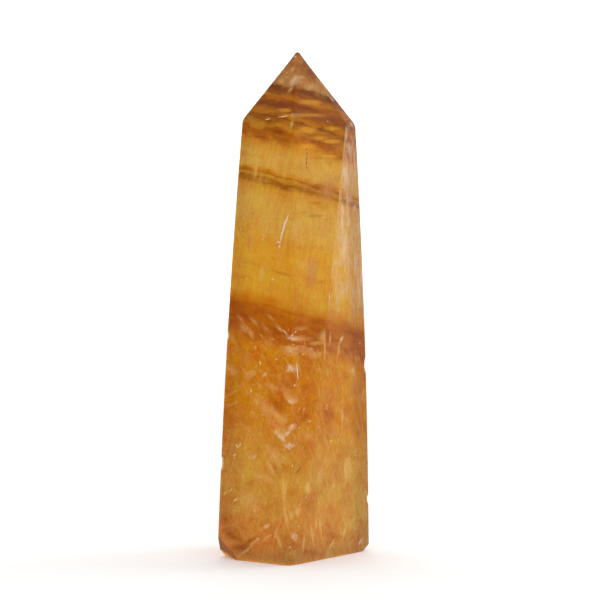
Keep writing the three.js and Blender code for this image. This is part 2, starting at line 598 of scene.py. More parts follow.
    def _mottle(self, patterns: InnerPatterns, height: bpy.types.NodeSocket) -> bpy.types.NodeSocket:
        """Draw the fine unevenness of the whole stone, added up round a half.

        There are grains, blotches and leaning fibres all over. Low down there are cleavage fibres, along one plane
        in some patches and along another elsewhere, and blocks between cleavage planes.

        Args:
            patterns: the stone's patterns.
            height: the height along the growth direction.

        Returns:
            A tone that lightens above a half and darkens below it, red less than green and blue.
        """
        low_down = patterns.ramp(height, 46.0, 42.0)
        patch = patterns.clouds(4.0, (1.0, 1.0, 1.6))
        here = patterns.ramp(patch, 0.44, 0.62)
        elsewhere = patterns.ramp(patch, 0.54, 0.38)
        first = patterns.combined("MULTIPLY", low_down, here)
        third = patterns.combined("MULTIPLY", low_down, elsewhere)
        parts = (
            (patterns.clouds(0.3, detail=4.0), 0.6, 1.0),
            (patterns.clouds(2.6, (1.6, 1.6, 1.0), 4.0, place=patterns.layered), 0.4, 1.0),
            (patterns.clouds(0.45, (1.0, 1.0, 12.0), 4.0, place=patterns.leaning), 0.55, 1.0),
            (patterns.sheets(Cleavage.FIRST, 0.4, 4.0), 0.75, first),
            (patterns.sheets(Cleavage.THIRD, 0.4, 3.0), 0.55, third),
            (patterns.blocks(5.0), 0.16, low_down),
            (patterns.blocks(1.8), 0.12, low_down),
        )
        grey = 0.5
        for pattern, reach, mask in parts:
            grey = patterns.swayed(grey, pattern, patterns.combined("MULTIPLY", mask, reach))
        return add_node(patterns.tree, "ShaderNodeMix", {
            0: grey, MIX_A: self.mottle_dark, MIX_B: self.mottle_light}, data_type="RGBA").outputs[MIX_RESULT]

    def _shade(self, patterns: InnerPatterns, height: bpy.types.NodeSocket) -> bpy.types.NodeSocket:
        """Say where the growth colour is deeper.

        In the smoky bands there are lenses, higher up broken growth lines and fine upright lines, and low down
        clouds and dark cleavage sheets.

        Args:
            patterns: the stone's patterns.
            height: the height along the growth direction.

        Returns:
            How much deeper, from 0 to 1.
        """
        high_up = patterns.ramp(height, 41.0, 47.0)
        low_down = patterns.ramp(height, 45.0, 36.0)
        banded = patterns.combined(
            "MULTIPLY", patterns.ramp(height, 71.5, 74.0), patterns.ramp(height, 84.0, 83.0))
        smoky = patterns.combined(
            "MULTIPLY", patterns.ramp(height, 36.5, 39.0), patterns.ramp(height, 45.0, 43.0))
        cloud = patterns.clouds(6.5)
        upright = patterns.clouds(0.9, (1.0, 1.0, 12.0))
        lenses = patterns.clouds(1.1, (6.0, 6.0, 1.0), 2.0, place=patterns.layered)
        return patterns.combined(
            "MAXIMUM",
            patterns.combined("MULTIPLY", banded, patterns.ramp(lenses, 0.5, 0.6, 0.6)),
            patterns.combined("MULTIPLY", smoky, patterns.ramp(lenses, 0.5, 0.62, 0.45)),
            patterns.combined("MULTIPLY", high_up, patterns.ramp(patterns.lines(height, 1.3), 0.5, 0.7, 0.3),
                              patterns.ramp(cloud, 0.45, 0.6)),
            patterns.combined("MULTIPLY", high_up, patterns.ramp(upright, 0.54, 0.7, 0.22)),
            patterns.combined("MULTIPLY", low_down, patterns.ramp(cloud, 0.46, 0.62, 0.26)),
            patterns.combined("MULTIPLY", low_down,
                              patterns.ramp(patterns.sheets(Cleavage.FIRST, 1.6, 7.0), 0.55, 0.66, 0.3)),
        )

    def _haze(self, patterns: InnerPatterns, height: bpy.types.NodeSocket) -> bpy.types.NodeSocket:
        """Say where pale haze lies.

        High up there are leaning streaks, low down cleavage wisps, at the foot feathers and at the tip mottle.

        Args:
            patterns: the stone's patterns.
            height: the height along the growth direction.

        Returns:
            How much haze, from 0 to 1.
        """
        low_down = patterns.ramp(height, 41.0, 36.0)
        foot = patterns.ramp(height, 16.0, 4.0)
        patch = patterns.ramp(patterns.clouds(5.0), 0.44, 0.58)
        upright = patterns.clouds(0.45, (1.0, 1.0, 9.0))
        at_tip = patterns.ramp(height, 82.8, 84.0)
        high_up = patterns.combined(
            "MULTIPLY", patterns.ramp(height, 45.0, 50.0), patterns.ramp(height, 73.0, 69.0))
        leaning = patterns.clouds(0.8, (1.0, 1.0, 10.0), place=patterns.leaning)
        return patterns.combined(
            "MAXIMUM",
            patterns.combined("MULTIPLY", high_up, patterns.ramp(patterns.clouds(4.0), 0.44, 0.58),
                              patterns.ramp(leaning, 0.5, 0.66, 0.55)),
            patterns.combined("MULTIPLY", low_down, patch,
                              patterns.ramp(patterns.sheets(Cleavage.FIRST, 2.0, 8.0), 0.5, 0.7, 0.5)),
            patterns.combined("MULTIPLY", low_down, patch,
                              patterns.ramp(patterns.sheets(Cleavage.SECOND, 2.4, 7.0), 0.54, 0.7, 0.4)),
            patterns.combined("MULTIPLY", low_down,
                              patterns.ramp(patterns.sheets(Cleavage.FIRST, 0.5, 3.0), 0.52, 0.66, 0.6)),
            patterns.combined("MULTIPLY", low_down,
                              patterns.ramp(patterns.sheets(Cleavage.THIRD, 0.5, 2.2), 0.55, 0.68, 0.6)),
            patterns.combined("MULTIPLY", foot, patterns.ramp(upright, 0.52, 0.66, 0.6)),
            patterns.combined("MULTIPLY", at_tip,
                              patterns.ramp(patterns.clouds(0.9, detail=6.0), 0.46, 0.64, 0.5)),
        )

    def _veil_and_reflection(self, patterns: InnerPatterns, height: bpy.types.NodeSocket) -> bpy.types.NodeSocket:
        """Say where the whitish veils of upright scratches lie, with painted reflection of the softbox on the right
        flat.

        Args:
            patterns: the stone's patterns.
            height: the height along the growth direction.

        Returns:
            How much veil, from 0 to 1.
        """
        scratches = patterns.ramp(patterns.clouds(0.5, (1.0, 1.0, 5.0)), 0.36, 0.62)
        patches = patterns.ramp(patterns.clouds(2.0, (1.0, 1.0, 2.2)), 0.38, 0.56)
        streaked = patterns.combined("MULTIPLY", scratches, patches)
        parts = [
            patterns.combined("MULTIPLY", streaked, patterns.on_flat(veil.facing),
                              patterns.ramp(height, veil.low, veil.low + 8.0, veil.strength),
                              patterns.ramp(height, veil.high, veil.high - 4.0))
            for veil in self.veils_and_reflection
        ]
        return patterns.combined("MAXIMUM", *parts)

    def _soft(self, patterns: InnerPatterns, soft: SoftTone) -> bpy.types.NodeSocket:
        """Say where the marks of a field show: the field with its rims frayed by barbs.

        Args:
            patterns: the stone's patterns.
            soft: the field, and how it shows.

        Returns:
            How much of the mark shows, from 0 to 1.
        """
        field_here = patterns.from_mesh(soft.field)
        place = add_node(patterns.tree, "ShaderNodeAttribute", attribute_name=soft.field + "_place")
        length, width = soft.barb
        barbs = patterns.clouds(width, (length / width, 1.0, 1.0), 4.0, place.outputs["Vector"])
        frayed = patterns.swayed(field_here, barbs, soft.fray)
        shown = patterns.combined(
            "MAXIMUM", patterns.ramp(frayed, soft.rim, soft.full, soft.strength),
            patterns.ramp(frayed, soft.rim, soft.rim + 0.1, soft.strength * soft.faint))
        return patterns.combined("MULTIPLY", patterns.ramp(field_here, 0.0, 0.1), shown)

    def _polish_lines(self, patterns: InnerPatterns) -> bpy.types.NodeSocket:
        """Give the skin's direction with the fine upright lines that the polishing wheel left.

        Real lines are some microns wide: these are drawn a third of a millimetre wide, so that they show.

        Args:
            patterns: the stone's patterns.

        Returns:
            The direction.
        """
        bump = add_node(patterns.tree, "ShaderNodeBump", {
            "Strength": 0.35, "Distance": 0.03 * MM, "Height": patterns.clouds(0.35, (1.0, 1.0, 20.0))})
        return bump.outputs["Normal"]


@dataclass(frozen=True)
class CleavageFace:
    """A cleavage crack that reaches the polish: pearly from the film of air in it, and thinner to its rim. Pale and
    golden cracks also stand in as painted glints.

    Fine steps run along the crack, as a feather's barbs do.
    """

    name: str
    tone: str
    step_tone: str
    cover: float
    rim: tuple[float, float] = (0.25, 0.7)
    fray: float = 1.1
    roughness: float = 0.42
    ior: float = FLUORITE_IOR
    lustre: float = 0.2
    step_size: tuple[float, float] = (1.3, 0.24)

    def material(self) -> bpy.types.Material:
        """Build the crack's nodes: two tones in fine steps, which also fray the rim."""
        material = bpy.data.materials.new(self.name)
        material.use_nodes = True
        tree = material.node_tree
        tree.nodes.clear()
        place = add_node(tree, "ShaderNodeAttribute", attribute_name="place_on_plate")
        shrunk = add_node(tree, "ShaderNodeMapping", {
            "Vector": place.outputs["Vector"], "Scale": (1 / self.step_size[0], 1 / self.step_size[1], 1.0)})
        steps = add_node(tree, "ShaderNodeTexNoise", {
            "Vector": shrunk.outputs["Vector"], "Scale": 1.0, "Detail": 4.0, "Roughness": 0.65})
        share = add_node(tree, "ShaderNodeMapRange", {
            "Value": steps.outputs["Fac"], "From Min": 0.35, "From Max": 0.65})
        colour = add_node(tree, "ShaderNodeMix", {
            0: share.outputs["Result"], MIX_A: linear(self.step_tone), MIX_B: linear(self.tone)},
            data_type="RGBA")
        fullness = add_node(tree, "ShaderNodeAttribute", attribute_name="fullness")
        shift = add_node(tree, "ShaderNodeMath", {0: steps.outputs["Fac"], 1: -0.5}, operation="ADD")
        frayed = add_node(tree, "ShaderNodeMath", {
            0: shift.outputs[0], 1: self.fray, 2: fullness.outputs["Fac"]}, operation="MULTIPLY_ADD")
        cover = add_node(tree, "ShaderNodeMapRange", {
            "Value": frayed.outputs[0], "From Min": self.rim[0], "From Max": self.rim[1],
            "To Max": self.cover}, interpolation_type="SMOOTHSTEP")
        shader = add_node(tree, "ShaderNodeBsdfPrincipled", {
            "Base Color": colour.outputs[MIX_RESULT], "Roughness": self.roughness, "IOR": self.ior,
            "Specular IOR Level": self.lustre, "Alpha": cover.outputs["Result"]})
        add_node(tree, "ShaderNodeOutputMaterial", {"Surface": shader.outputs["BSDF"]})
        return material


@dataclass(frozen=True)
class PaleFloor:
    """A matt white board, lit a little from below as a light table is: pale, even and without gloss."""

    tone: str = "#fbfaf9"
    roughness: float = 0.85
    glow: float = 0.1

    def material(self) -> bpy.types.Material:
        """Build the floor's nodes."""
        material = bpy.data.materials.new("matt_white_board")
        material.use_nodes = True
        tree = material.node_tree
        tree.nodes.clear()
        shader = add_node(tree, "ShaderNodeBsdfPrincipled", {
            "Base Color": linear(self.tone), "Roughness": self.roughness,
            "Emission Color": linear(self.tone), "Emission Strength": self.glow})
        add_node(tree, "ShaderNodeOutputMaterial", {"Surface": shader.outputs["BSDF"]})
        return material


@dataclass(frozen=True)
class Flat:
    """One polished side of the stone.

    facing is in degrees from -Y towards +X, foot and neck are how far it stands from the axis at the foot and at
    the shoulder, and shoulder is the height where its tip facet starts.
    """

    facing: float
    foot: float
    neck: float
    shoulder: float


@dataclass(frozen=True)
class GroundCorner:
    """A corner of the foot that was ground off: its plane's outward direction, a point on it, and if it is matt."""

    outward: tuple[float, float, float]
    through: tuple[float, float, float]
    matt: bool = True


@dataclass(frozen=True)
class Chip:
    """A shell-shaped chip out of a ridge: the number of the flat before the ridge, the height and the size."""

    ridge: int
    height: float
    length: float
    depth: float


@dataclass
class PolishedPoint:
    """The stone: a closed surface of outlines stacked from the foot to the tip."""

    finish: PolishedFluorite = field(default_factory=PolishedFluorite)
    height: float = 90.0
    tip_at: tuple[float, float] = (0.4, -0.3)
    bow: float = 0.4
    foot_ease: float = 0.5
    ridge_radius: float = 0.45
    shoulder_ease: float = 0.3
    tip_taper: float = 5.0
    tip_worn: float = 0.3
    flats: tuple[Flat, ...] = (
        Flat(-34, 11.5, 6.85, 77.8),
        Flat(40, 9.3, 5.9, 77.4),
        Flat(52, 7.65, 7.2, 77.4),
        Flat(128, 13.6, 10.05, 77.0),
        Flat(182, 12.8, 7.6, 77.6),
        Flat(251, 11.6, 8.35, 77.7),
    )
    ground_corners: tuple[GroundCorner, ...] = (
        GroundCorner((-0.78, -0.55, -0.34), (-10.65, -6.25, 0.0)),
        GroundCorner((-0.63, -0.25, -0.73), (-10.55, -6.35, 0.1), matt=False),
        GroundCorner((0.65, 0.1, -0.75), (12.2, 3.0, 0.0)),
    )
    chips: tuple[Chip, ...] = (
        Chip(2, 9.5, 1.9, 0.26),
        Chip(2, 33.9, 2.8, 0.28),
        Chip(5, 16.9, 2.6, 0.3),
        Chip(5, 39.3, 1.4, 0.22),
        Chip(0, 20.5, 1.2, 0.2),
        Chip(3, 24.5, 2.2, 0.3),
        Chip(3, 58.0, 1.5, 0.22),
        Chip(4, 12.0, 1.8, 0.28),
        Chip(4, 47.5, 2.4, 0.26),
    )
    ridge_steps: int = 8
    flat_gap: float = 0.34
    level_gap: float = 0.3
    foot_rings: int = 10

    def build(self, fields: tuple["SoftMarks", ...]) -> bpy.types.Object:
        """Make the stone's mesh, dress it and let it stand for the solid.

        Args:
            fields: the soft marks in the stone.

        Returns:
            The stone.
        """
        points, faces = self._surface()
        points, wear = self._worn(points)
        piece = mesh_piece("polished_point", self._placed(points), faces, self.finish.material())
        piece.data.set_sharp_from_angle(angle=math.radians(30))
        for name, amount in wear.items():
            attribute = piece.data.attributes.new(name, "FLOAT", "POINT")
            attribute.data.foreach_set("value", amount.astype(np.float32))
        for marks in fields:
            marks.write(piece, points)
        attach(piece, BODY)
        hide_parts(NODE)
        return piece

    def _normals(self) -> np.ndarray:
        """Give each flat's outward direction, seen from above."""
        facing = np.radians([flat.facing for flat in self.flats])
        return np.stack([np.sin(facing), -np.cos(facing)], axis=1)

    def _reach(self, heights: np.ndarray) -> np.ndarray:
        """Give how far each flat, or the tip facet above it, stands from the axis.

        A flat's distance runs straight from foot to neck, plus a parabola of the bow. The facet's runs straight
        to the tip. The smaller of the two counts, eased by a parabola where they are nearly equal, less a
        quarter circle at the foot's rim.

        Args:
            heights: heights above the foot.

        Returns:
            Distances, one row a flat and one column a height.
        """
        sizes = np.array([(flat.foot, flat.neck, flat.shoulder) for flat in self.flats])
        foot, neck, shoulder = sizes.T[..., None]
        share = heights / shoulder
        side = foot + (neck - foot) * share + 4 * self.bow * share * (1 - share)
        tip = (self._normals() @ np.array(self.tip_at))[:, None]
        meeting = self.height + self.tip_worn
        facet = tip + (neck - tip) * (meeting - heights) / (meeting - shoulder)
        overlap = np.maximum(self.shoulder_ease - np.abs(side - facet), 0) / self.shoulder_ease
        eased = np.minimum(side, facet) - overlap**2 * self.shoulder_ease / 4
        below = np.maximum(self.foot_ease - heights, 0)
        return eased - (self.foot_ease - np.sqrt(self.foot_ease**2 - below**2))

    def _corners(self, heights: np.ndarray, inset: np.ndarray | float) -> np.ndarray:
        """Give where each flat meets the next, both moved in by the inset: the crossing of two lines.

        Args:
            heights: heights above the foot.
            inset: how far the flats are moved in.

        Returns:
            Points seen from above, by flat, height and axis.
        """
        normals = self._normals()
        following = np.roll(normals, -1, axis=0)
        reach = self._reach(heights) - inset
        reach_next = np.roll(reach, -1, axis=0)
        turn = (normals[:, 0] * following[:, 1] - normals[:, 1] * following[:, 0])[:, None]
        across = (reach * following[:, 1:] - reach_next * normals[:, 1:]) / turn
        along = (reach_next * normals[:, :1] - reach * following[:, :1]) / turn
        return np.stack([across, along], axis=-1)

    def _ridge_radius_at(self, heights: np.ndarray) -> np.ndarray:
        """Give the ridges' radius, which shrinks towards the tip."""
        return np.minimum(self.ridge_radius, (self.height + self.tip_worn - heights) / self.tip_taper)

    def _outlines(self, heights: np.ndarray) -> np.ndarray:
        """Give the outline at each height: an arc round each ridge, then even steps over the next flat.

        Args:
            heights: heights above the foot.

        Returns:
            Points by place round the outline, height and axis.
        """
        facing = np.array([flat.facing for flat in self.flats])
        turn = (np.roll(facing, -1) - facing) % 360
        steps = np.linspace(0, 1, self.ridge_steps + 1)
        angle = np.radians(facing[:, None] + turn[:, None] * steps)
        away = np.stack([np.sin(angle), -np.cos(angle)], axis=-1)
        radius = self._ridge_radius_at(heights)
        middle = self._corners(heights, radius)
        arcs = middle[:, None] + away[:, :, None] * radius[None, None, :, None]
        starts, ends = arcs[:, -1], np.roll(arcs[:, 0], -1, axis=0)
        columns = []
        for arc, start, end in zip(arcs, starts, ends):
            count = round(np.linalg.norm(end[0] - start[0]) / self.flat_gap)
            spread = np.linspace(0, 1, count + 1)[1:-1][:, None, None]
            columns += [arc, start * (1 - spread) + end * spread]
        ring = np.concatenate(columns)
        level = np.broadcast_to(heights[None, :, None], (*ring.shape[:2], 1))
        return np.concatenate([ring, level], axis=-1)

    def _levels(self) -> np.ndarray:
        """Give the heights of the outlines: even, and closer where the foot's rim and the tip are rounded."""
        rim = self.foot_ease * (1 - np.cos(np.linspace(0, math.pi / 2, 6)))[:-1]
        top = self.height - self.tip_worn / 2
        count = round((top - self.foot_ease) / self.level_gap)
        return np.concatenate([rim, np.linspace(self.foot_ease, top, count)])

    def _surface(self) -> tuple[np.ndarray, np.ndarray]:
        """Close the stacked outlines with rings over the foot and a fan over the tip.

        Returns:
            Points in millimetres, and faces.
        """
        walls = self._outlines(self._levels())
        round_count, level_count = walls.shape[:2]
        shares = np.linspace(1, 0, self.foot_rings + 1)[1:-1]
        foot = walls[:, :1] * np.stack([shares, shares, shares * 0], axis=-1)[None]
        columns = np.concatenate([foot[:, ::-1], walls], axis=1)
        rows = columns.shape[1]
        tip = np.array([[*self.tip_at, self.height]])
        points = np.concatenate([columns.reshape(-1, 3), np.zeros((1, 3)), tip])
        index = np.arange(round_count * rows).reshape(round_count, rows)
        beside = np.roll(index, -1, axis=0)
        sides = np.stack([index[:, :-1], beside[:, :-1], beside[:, 1:], index[:, 1:]], axis=-1).reshape(-1, 4)
        middle, top = len(points) - 2, len(points) - 1
        fan_foot = np.stack([np.full(round_count, middle), beside[:, 0], index[:, 0]], axis=-1)
        fan_tip = np.stack([index[:, -1], beside[:, -1], np.full(round_count, top)], axis=-1)
        fans = np.concatenate([fan_foot, fan_tip])
        faces = np.concatenate([sides, np.concatenate([fans, fans[:, 2:]], axis=1)])
        return points, faces

    def _worn(self, points: np.ndarray) -> tuple[np.ndarray, dict[str, np.ndarray]]:
        """Take off the ground corners and the chips.

        A point outside a ground corner's plane drops straight onto the plane. A point inside a chip's ball
        moves out from the ball's middle to its surface.

        Args:
            points: the whole stone's points.

        Returns:
            The worn points, and how far each was ground down or freshly broken, from 0 to 1.
        """
        worn = points.copy()
        wear = {"ground_down": np.zeros(len(points)), "fresh_break": np.zeros(len(points))}
        for corner in self.ground_corners:
            outward = np.array(corner.outward) / np.linalg.norm(corner.outward)
            over = np.maximum((worn - np.array(corner.through)) @ outward, 0)
            worn -= over[:, None] * outward
            wear["ground_down"] = np.where(over > 0, corner.matt, wear["ground_down"])
        for chip in self.chips:
            middle, radius = self._chip_ball(chip)
            away = worn - middle
            distance = np.linalg.norm(away, axis=1, keepdims=True)
            worn = np.where(distance < radius, middle + away / distance * radius, worn)
            wear["fresh_break"] = np.maximum(wear["fresh_break"], distance[:, 0] < radius)
        return worn, wear

    def _chip_ball(self, chip: Chip) -> tuple[np.ndarray, float]:
        """Give the ball that scoops out a chip: its cap has the chip's length and depth.

        Args:
            chip: the chip.

        Returns:
            The ball's middle, and its radius.
        """
        normals = self._normals()
        before, after = normals[chip.ridge], normals[(chip.ridge + 1) % len(normals)]
        radius = chip.length**2 / (8 * chip.depth) + chip.depth / 2
        away = (before + after) / np.linalg.norm(before + after)
        worn = self.ridge_radius * (1 / (away @ before) - 1)
        edge = self._corners(np.array([chip.height]), 0.0)[chip.ridge, 0]
        return np.array([*(edge + away * (radius - chip.depth - worn)), chip.height]), radius

    @cached_property
    def _shift(self) -> np.ndarray:
        """Give the level move that puts the middle of the stone's box on the middle of the solid's.

        Returns:
            The move along X, Y and Z.
        """
        points, _ = self._worn(self._surface()[0])
        low, high = (np.array(corner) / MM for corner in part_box(NODE))
        shift = (low + high) / 2 - (points.min(axis=0) + points.max(axis=0)) / 2
        return shift * (1, 1, 0)

    def _placed(self, points: np.ndarray) -> np.ndarray:
        """Move points to the stone's place in the frame."""
        return points + self._shift

    def on_front(self, across: np.ndarray, heights: np.ndarray) -> tuple[np.ndarray, np.ndarray]:
        """Find places on the side that faces -Y.

        Each flat that faces -Y gives a depth, from its line seen from above, and the innermost one counts.

        Args:
            across: places along X in the frame.
            heights: heights above the foot.

        Returns:
            The places in the stone's own millimetres, and the number of the flat that each is on.
        """
        x = across - self._shift[0]
        normals = self._normals()
        towards = normals[:, 1] < 0
        depth = (self._reach(heights) - normals[:, :1] * x) / np.where(towards, normals[:, 1], -1)[:, None]
        depth = np.where(towards[:, None], depth, -np.inf)
        return np.stack([x, depth.max(axis=0), heights], axis=1), depth.argmax(axis=0)

    def on_flats(self, numbers: np.ndarray, shares: np.ndarray, heights: np.ndarray) -> np.ndarray:
        """Find places on flats, by the share of the way from one ridge to the next.

        Args:
            numbers: the number of each place's flat.
            shares: how far across the flat each place is.
            heights: heights above the foot.

        Returns:
            The places in the stone's own millimetres.
        """
        ends = self._corners(heights, 0.0)
        each = np.arange(len(heights))
        start, end = ends[numbers - 1, each], ends[numbers, each]
        level = start + (end - start) * shares[:, None]
        return np.concatenate([level, heights[:, None]], axis=1)

    def directions(
        self, numbers: np.ndarray, heights: np.ndarray
    ) -> tuple[np.ndarray, np.ndarray, np.ndarray]:
        """Give the ways to the right, up and out of flats, seen from outside.

        Args:
            numbers: the number of each place's flat.
            heights: heights above the foot.

        Returns:
            Unit directions, one row a place.
        """
        step = 0.05
        slope = (self._reach(heights + step) - self._reach(heights - step))[numbers, np.arange(len(heights))]
        level = self._normals()[numbers]
        right = np.stack([-level[:, 1], level[:, 0], slope * 0], axis=1)
        up = np.concatenate([level * (slope / (2 * step))[:, None], np.ones((len(level), 1))], axis=1)
        up /= np.linalg.norm(up, axis=1, keepdims=True)
        return right, up, np.cross(right, up)

    def on_skin(self, points: np.ndarray, outwards: np.ndarray) -> np.ndarray:
        """Move points level to the stone's skin, and a little further out or in.

        The flats moved in by the ridges' radius make a polygon at each height. The skin is the radius away
        from the polygon, on the line from its nearest place to the point.

        Args:
            points: places near the skin, in the stone's own millimetres.
            outwards: how far out of the skin each is to be.

        Returns:
            The moved points, in the frame.
        """
        heights = points[:, 2]
        radius = self._ridge_radius_at(heights)
        end = self._corners(heights, radius)
        start = np.roll(end, 1, axis=0)
        side = end - start
        share = ((points[:, :2] - start) * side).sum(axis=-1) / (side**2).sum(axis=-1)
        nearest = start + side * np.clip(share, 0, 1)[..., None]
        gaps = points[:, :2] - nearest
        distance = np.linalg.norm(gaps, axis=-1)
        best = (distance.argmin(axis=0), np.arange(len(points)))
        away = gaps[best] / distance[best][:, None]
        level = nearest[best] + away * (radius + outwards)[:, None]
        return self._placed(np.concatenate([level, heights[:, None]], axis=1))


@dataclass(frozen=True)
class Mark:
    """One cleavage face on the front: its middle across and up, its size, its turn from level, its outline.

    widest is the share of the length where it is widest, and bend is how far its middle bows, as a share of the
    length. A crisp face ends sharply on its middle line: at 1 its lower half is left, and at -1 its upper half.
    """

    across: float
    height: float
    length: float
    width: float
    turn: float
    widest: float = 0.5
    bend: float = 0.0
    crisp: int = 0


@dataclass(frozen=True)
class Swarm:
    """Many cleavage faces on some flats: their heights, number and sizes, and what they lie along.

    They lie along a cleavage plane or, where layered, along the growth planes, and are upright where neither is
    given. swing is by how many degrees they mostly stray from that.
    """

    flats: tuple[int, ...]
    low: float
    high: float
    count: int
    length: tuple[float, float]
    width: tuple[float, float]
    plane: Cleavage | None = None
    swing: float = 8.0
    layered: bool = False


@dataclass
class MarkPlaces:
    """Where cleavage faces lie on the stone: some are placed one by one on the front, others are scattered."""

    name: str
    stone: PolishedPoint
    marks: tuple[Mark, ...] = ()
    swarms: tuple[Swarm, ...] = ()
    crystal: Crystal = Crystal()
    seed: int = 1

    def spots(self, chance: np.random.Generator) -> tuple[np.ndarray, np.ndarray, np.ndarray]:
        """List all the faces.

        Args:
            chance: the source of chance.

        Returns:
            Their places, their flats' numbers, and a row each of length, width, turn, widest, bend and crisp.
        """
        parts = [self._marked(), *(self._swarmed(swarm, chance) for swarm in self.swarms)]
        return tuple(np.concatenate(part) for part in zip(*parts))

    def _marked(self) -> tuple[np.ndarray, np.ndarray, np.ndarray]:
        """List the faces that are placed one by one.

        Returns:
            Their places, their flats' numbers, and a row each of length, width, turn, widest, bend and crisp.
        """
        rows = np.array([(m.across, m.height, m.length, m.width, m.turn, m.widest, m.bend, m.crisp)
                         for m in self.marks]).reshape(-1, 8)
        places, flats = self.stone.on_front(rows[:, 0], rows[:, 1])
        return places, flats, rows[:, 2:]

    def _swarmed(
        self, swarm: Swarm, chance: np.random.Generator
    ) -> tuple[np.ndarray, np.ndarray, np.ndarray]:
        """Scatter the faces of a swarm evenly over its flats, with more short ones than long ones.

        A face's turn is that of the line where its plane cuts the flat, give or take the swing.

        Args:
            swarm: the swarm.
            chance: the source of chance.

        Returns:
            Their places, their flats' numbers, and a row each of length, width, turn, widest, bend and crisp.
        """
        flats = chance.choice(swarm.flats, swarm.count)
        heights = chance.uniform(swarm.low, swarm.high, swarm.count)
        places = self.stone.on_flats(flats, chance.uniform(0.03, 0.97, swarm.count), heights)
        small = chance.uniform(0, 1, swarm.count) ** 2.5
        length = swarm.length[0] + (swarm.length[1] - swarm.length[0]) * small
        width = chance.uniform(*swarm.width, swarm.count)
        turn = np.full(swarm.count, 90.0)
        if swarm.plane or swarm.layered:
            right, up, out = self.stone.directions(flats, heights)
            plane = self.crystal.growth if swarm.layered else self.crystal.cleavage(swarm.plane)
            trace = np.cross(out, plane)
            turn = np.degrees(np.arctan2((trace * up).sum(axis=1), (trace * right).sum(axis=1)))
        turn = turn + chance.normal(0, swarm.swing, swarm.count)
        widest = chance.uniform(0.3, 0.7, swarm.count)
        bend = chance.normal(0, 0.04, swarm.count)
        return places, flats, np.stack([length, width, turn, widest, bend, bend * 0], axis=1)


@dataclass
class SoftMarks(MarkPlaces):
    """Cleavage faces under the polish: a field on the stone's mesh, 1 in a face's middle and 0 at its rim.

    depth is how far a face reaches into the stone, and steep is how much sooner a crisp face ends on its cut side.
    """

    depth: float = 1.2
    steep: float = 9.0

    def write(self, stone: bpy.types.Object, points: np.ndarray) -> None:
        """Write the field, and the place along and across the mark that gives it, to the stone's mesh.

        Round each face the field is one less the distance from its middle, counted in half lengths along it,
        half widths across it and depths into the stone. A face is wider and fuller towards its widest end. On the
        cut side of a crisp face the distance across counts several times. The largest value counts.

        Args:
            stone: the stone.
            points: the stone's points, in its own millimetres.
        """
        places, flats, sizes = self.spots(np.random.default_rng(self.seed))
        rights, ups, outs = self.stone.directions(flats, places[:, 2])
        fullest = np.zeros(len(points))
        on_mark = np.zeros((len(points), 3))
        rows = zip(places, rights, ups, outs, sizes)
        for number, (place, right, up, out, (length, width, turn, widest, bend, crisp)) in enumerate(rows):
            angle = math.radians(turn)
            gap = points - place
            along = gap @ (right * math.cos(angle) + up * math.sin(angle)) * 2 / length
            beside = gap @ (up * math.cos(angle) - right * math.sin(angle)) - bend * length * (1 - along**2)
            taper = np.clip(1 + (widest - 0.5) * 3 * along, 0.3, 2)
            steep = np.where(beside * crisp > 0, self.steep, 1)
            aside = beside * 2 / width / taper * steep
            distance = np.sqrt(along**2 + aside**2 + (gap @ out / self.depth) ** 2)
            fullness = (1 - distance) * (1 + (widest - 0.5) * 2 * along)
            ahead = (fullness > fullest) & (distance < 1)
            fullest[ahead] = fullness[ahead]
            apart = np.full(len(points), number * PATTERN_GAP)
            on_mark[ahead] = np.stack([along * length / 2, beside, apart], axis=1)[ahead]
        amount = stone.data.attributes.new(self.name, "FLOAT", "POINT")
        amount.data.foreach_set("value", fullest.astype(np.float32))
        place = stone.data.attributes.new(self.name + "_place", "FLOAT_VECTOR", "POINT")
        place.data.foreach_set("vector", on_mark.astype(np.float32).ravel())


